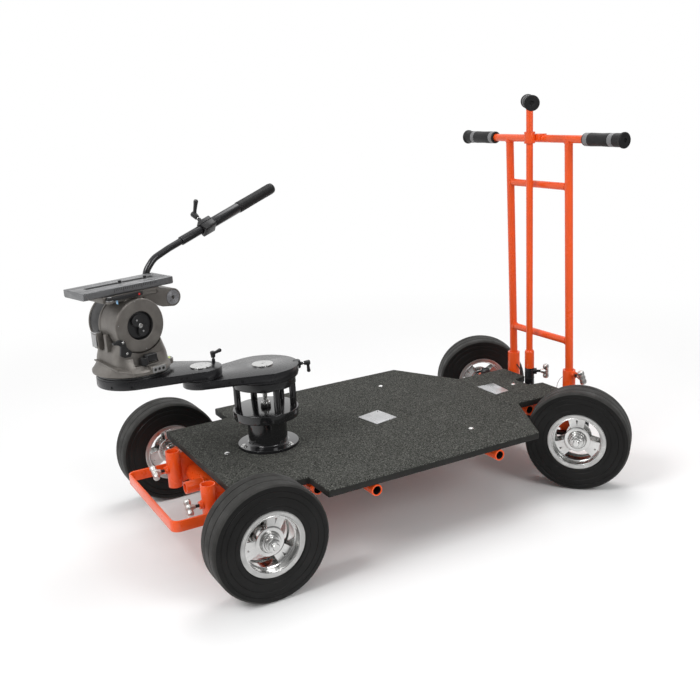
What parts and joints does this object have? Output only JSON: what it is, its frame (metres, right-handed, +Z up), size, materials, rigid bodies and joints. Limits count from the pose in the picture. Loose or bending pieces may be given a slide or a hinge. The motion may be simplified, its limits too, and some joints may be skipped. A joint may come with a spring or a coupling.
{
  "type": "doorway dolly",
  "caption": "Narrow steerable camera dolly: carpeted deck on pneumatic-style wheels, push bar, T-handle steering column, offset arm on a turret and a fluid head with a pan bar.",
  "frame": {"origin": "on the floor under the middle of the outline", "axes": "+Y towards the push bar along the deck, +Z up, +X towards the side with the push bar's clamp"},
  "size_m": [0.7596, 1.3922, 0.978],
  "materials": {
    "orange_paint": "bright orange gloss enamel",
    "black_metal": "black satin anodised",
    "black_plastic": "black moulded",
    "grip_rubber": "black grip rubber with grey bands",
    "head_grey": "bronze grey hammered enamel",
    "plate_grey": "dark grey anodised",
    "zinc": "bright zinc plate",
    "bright_steel": "bright machined steel",
    "cast_alloy": "bright cast alloy",
    "tyre": "black slick tyre rubber",
    "carpet": "dark grey speckled carpet on plywood"
  },
  "bodies": {
    "chassis": {"front_axle_beam": "orange_paint", "spine_tube": "orange_paint", "cross_tube_1": "orange_paint", "cross_tube_2": "orange_paint", "front_outrigger": "orange_paint", "rear_outrigger": "orange_paint", "front_socket_near": "orange_paint", "front_socket_far": "orange_paint", "bumper": "orange_paint", "rear_beam": "orange_paint", "rear_socket_near": "orange_paint", "rear_socket_far": "orange_paint", "deck": "carpet", "turret_column": "black_metal", "turret_cage": "black_metal", "turret_bearing": "bright_steel", "front_axle_near": "bright_steel", "front_axle_far": "bright_steel", "kingpin_near": "black_plastic", "kingpin_far": "black_plastic"},
    "front_wheel_near": {"front_wheel_near_tyre": "tyre", "front_wheel_near_rim": "zinc"},
    "front_wheel_far": {"front_wheel_far_tyre": "tyre", "front_wheel_far_rim": "zinc"},
    "rear_wheel_near": {"rear_wheel_near_tyre": "tyre", "rear_wheel_near_rim": "zinc"},
    "rear_wheel_far": {"rear_wheel_far_tyre": "tyre", "rear_wheel_far_rim": "zinc"},
    "knuckle_near": {"steering_knuckle_near": "black_metal"},
    "knuckle_far": {"steering_knuckle_far": "black_metal"},
    "tiller": {"steering_column": "orange_paint", "tiller_grip_near": "grip_rubber", "tiller_grip_far": "grip_rubber", "pitman_shaft": "black_metal"},
    "tie_rod_near": {"tie_rod_near": "black_metal"},
    "tie_rod_far": {"tie_rod_far": "black_metal"},
    "column_clamp": {"column_clamp_screw": "cast_alloy"},
    "push_bar": {"push_bar_frame": "orange_paint", "push_grip_near": "grip_rubber", "push_grip_far": "grip_rubber"},
    "push_bar_clamp": {"push_bar_clamp_screw": "cast_alloy"},
    "front_clamp_near": {"front_clamp_screw_near": "cast_alloy"},
    "front_clamp_far": {"front_clamp_screw_far": "cast_alloy"},
    "tie_down": {"tie_down_knob": "bright_steel"},
    "lower_arm": {"lower_arm": "black_metal"},
    "lower_arm_lever": {"lower_arm_lever": "black_plastic"},
    "upper_arm": {"upper_arm": "black_metal", "head_base": "black_metal"},
    "upper_arm_lever": {"upper_arm_lever": "black_plastic"},
    "head": {"head_pan_body": "head_grey"},
    "pan_brake": {"pan_brake_lever": "black_plastic"},
    "tilt_brake": {"tilt_brake_lever": "black_plastic"},
    "tilt_head": {"tilt_drum": "head_grey"},
    "drag_knob": {"drag_knob": "black_plastic"},
    "camera_plate": {"camera_plate": "plate_grey"},
    "plate_lock": {"plate_lock_lever": "black_plastic"},
    "pan_bar": {"pan_bar": "black_metal"},
    "pan_bar_grip": {"pan_bar_grip": "grip_rubber"}
  },
  "joints": [
    {"name": "front_wheel_near_roll", "type": "hinge", "parent": "chassis", "child": "front_wheel_near", "pos_m": [0.30696, -0.43564, 0.13], "axis": [1, 0, 0], "continuous": true},
    {"name": "front_wheel_far_roll", "type": "hinge", "parent": "chassis", "child": "front_wheel_far", "pos_m": [-0.31504, -0.43564, 0.13], "axis": [-1, 0, 0], "continuous": true},
    {"name": "rear_wheel_near_roll", "type": "hinge", "parent": "knuckle_near", "child": "rear_wheel_near", "pos_m": [0.26143, 0.45754, 0.13], "axis": [0.6574, -0.7536, 0], "continuous": true},
    {"name": "rear_wheel_far_roll", "type": "hinge", "parent": "knuckle_far", "child": "rear_wheel_far", "pos_m": [-0.29053, 0.56622, 0.13], "axis": [-0.891, 0.454, 0], "continuous": true},
    {"name": "steering", "type": "hinge", "parent": "chassis", "child": "tiller", "pos_m": [-0.00404, 0.52136, 0], "axis": [0, 0, 1], "range_deg": [0, 76]},
    {"name": "knuckle_near_steer", "type": "hinge", "parent": "chassis", "child": "knuckle_near", "pos_m": [0.20227, 0.52536, 0.13], "axis": [0, 0, 1], "range_deg": [0, 97.9]},
    {"name": "knuckle_far_steer", "type": "hinge", "parent": "chassis", "child": "knuckle_far", "pos_m": [-0.21033, 0.52536, 0.13], "axis": [0, 0, 1], "range_deg": [0, 54.1]},
    {"name": "tie_rod_near_swing", "type": "hinge", "parent": "tiller", "child": "tie_rod_near", "pos_m": [-0.0314, 0.44655, 0.0862], "axis": [0, 0, 1], "range_deg": [-103, 0]},
    {"name": "tie_rod_far_swing", "type": "hinge", "parent": "tiller", "child": "tie_rod_far", "pos_m": [-0.07001, 0.47671, 0.0862], "axis": [0, 0, 1], "range_deg": [-97, 0]},
    {"name": "column_clamp_turn", "type": "hinge", "parent": "tiller", "child": "column_clamp", "pos_m": [0.00828, 0.53712, 0.23], "axis": [0.6157, 0.788, 0], "range_deg": [0, 360]},
    {"name": "push_bar_lift", "type": "slide", "parent": "chassis", "child": "push_bar", "axis": [0, 0, 1], "range_m": [0, 0.045]},
    {"name": "push_bar_clamp_turn", "type": "hinge", "parent": "chassis", "child": "push_bar_clamp", "pos_m": [0.13647, 0.56086, 0.2435], "axis": [1, 0, 0], "range_deg": [0, 360]},
    {"name": "front_clamp_near_turn", "type": "hinge", "parent": "chassis", "child": "front_clamp_near", "pos_m": [0.11496, -0.50814, 0.14925], "axis": [0, -1, 0], "range_deg": [0, 360]},
    {"name": "front_clamp_far_turn", "type": "hinge", "parent": "chassis", "child": "front_clamp_far", "pos_m": [-0.12304, -0.50814, 0.14925], "axis": [0, -1, 0], "range_deg": [0, 360]},
    {"name": "tie_down_turn", "type": "hinge", "parent": "chassis", "child": "tie_down", "pos_m": [-0.00404, -0.28114, 0.2976], "axis": [0, 0, 1], "continuous": true},
    {"name": "lower_arm_swing", "type": "hinge", "parent": "chassis", "child": "lower_arm", "pos_m": [-0.00404, -0.28114, 0], "axis": [0, 0, 1], "continuous": true},
    {"name": "lower_arm_lever_turn", "type": "hinge", "parent": "lower_arm", "child": "lower_arm_lever", "pos_m": [0.01628, -0.19315, 0.3921], "axis": [0.225, 0.9744, 0], "range_deg": [-60, 60]},
    {"name": "upper_arm_swing", "type": "hinge", "parent": "lower_arm", "child": "upper_arm", "pos_m": [-0.00404, -0.43114, 0], "axis": [0, 0, 1], "range_deg": [-150, 150]},
    {"name": "upper_arm_lever_turn", "type": "hinge", "parent": "upper_arm", "child": "upper_arm_lever", "pos_m": [-0.0203, -0.3946, 0.4275], "axis": [0, 0, 1], "range_deg": [-60, 60]},
    {"name": "head_pan", "type": "hinge", "parent": "upper_arm", "child": "head", "pos_m": [-0.06265, -0.56921, 0], "axis": [0, 0, 1], "continuous": true},
    {"name": "head_tilt", "type": "hinge", "parent": "head", "child": "tilt_head", "pos_m": [-0.06265, -0.56921, 0.54], "axis": [0.9659, 0.2588, 0], "range_deg": [-45, 55]},
    {"name": "drag_knob_turn", "type": "hinge", "parent": "tilt_head", "child": "drag_knob", "pos_m": [-0.06265, -0.56921, 0.54], "axis": [0.9659, 0.2588, 0], "range_deg": [-90, 90]},
    {"name": "pan_brake_turn", "type": "hinge", "parent": "head", "child": "pan_brake", "pos_m": [0.00105, -0.56043, 0.4549], "axis": [0, 0, 1], "range_deg": [-40, 0]},
    {"name": "tilt_brake_turn", "type": "hinge", "parent": "head", "child": "tilt_brake", "pos_m": [0.00119, -0.59766, 0.4878], "axis": [0.9659, 0.2588, 0], "range_deg": [-22, 22]},
    {"name": "camera_plate_slide", "type": "slide", "parent": "tilt_head", "child": "camera_plate", "axis": [-0.2588, 0.9659, 0], "range_m": [-0.03, 0.03]},
    {"name": "plate_lock_turn", "type": "hinge", "parent": "tilt_head", "child": "plate_lock", "pos_m": [-0.00068, -0.61887, 0.605], "axis": [0, 0, 1], "range_deg": [-60, 0]},
    {"name": "pan_bar_swing", "type": "hinge", "parent": "tilt_head", "child": "pan_bar", "pos_m": [-0.08948, -0.46905, 0.5814], "axis": [-0.9659, -0.2588, 0], "range_deg": [-40, 40]},
    {"name": "pan_bar_extend", "type": "slide", "parent": "pan_bar", "child": "pan_bar_grip", "axis": [-0.2484, 0.9271, 0.2807], "range_m": [-0.03, 0.03]}
  ],
  "couplings": [
    {"joint": "knuckle_near_steer", "follows": "steering", "ratio": 1.2868},
    {"joint": "knuckle_far_steer", "follows": "steering", "ratio": 0.7105},
    {"joint": "tie_rod_near_swing", "follows": "steering", "ratio": -1.351},
    {"joint": "tie_rod_far_swing", "follows": "steering", "ratio": -1.267}
  ]
}
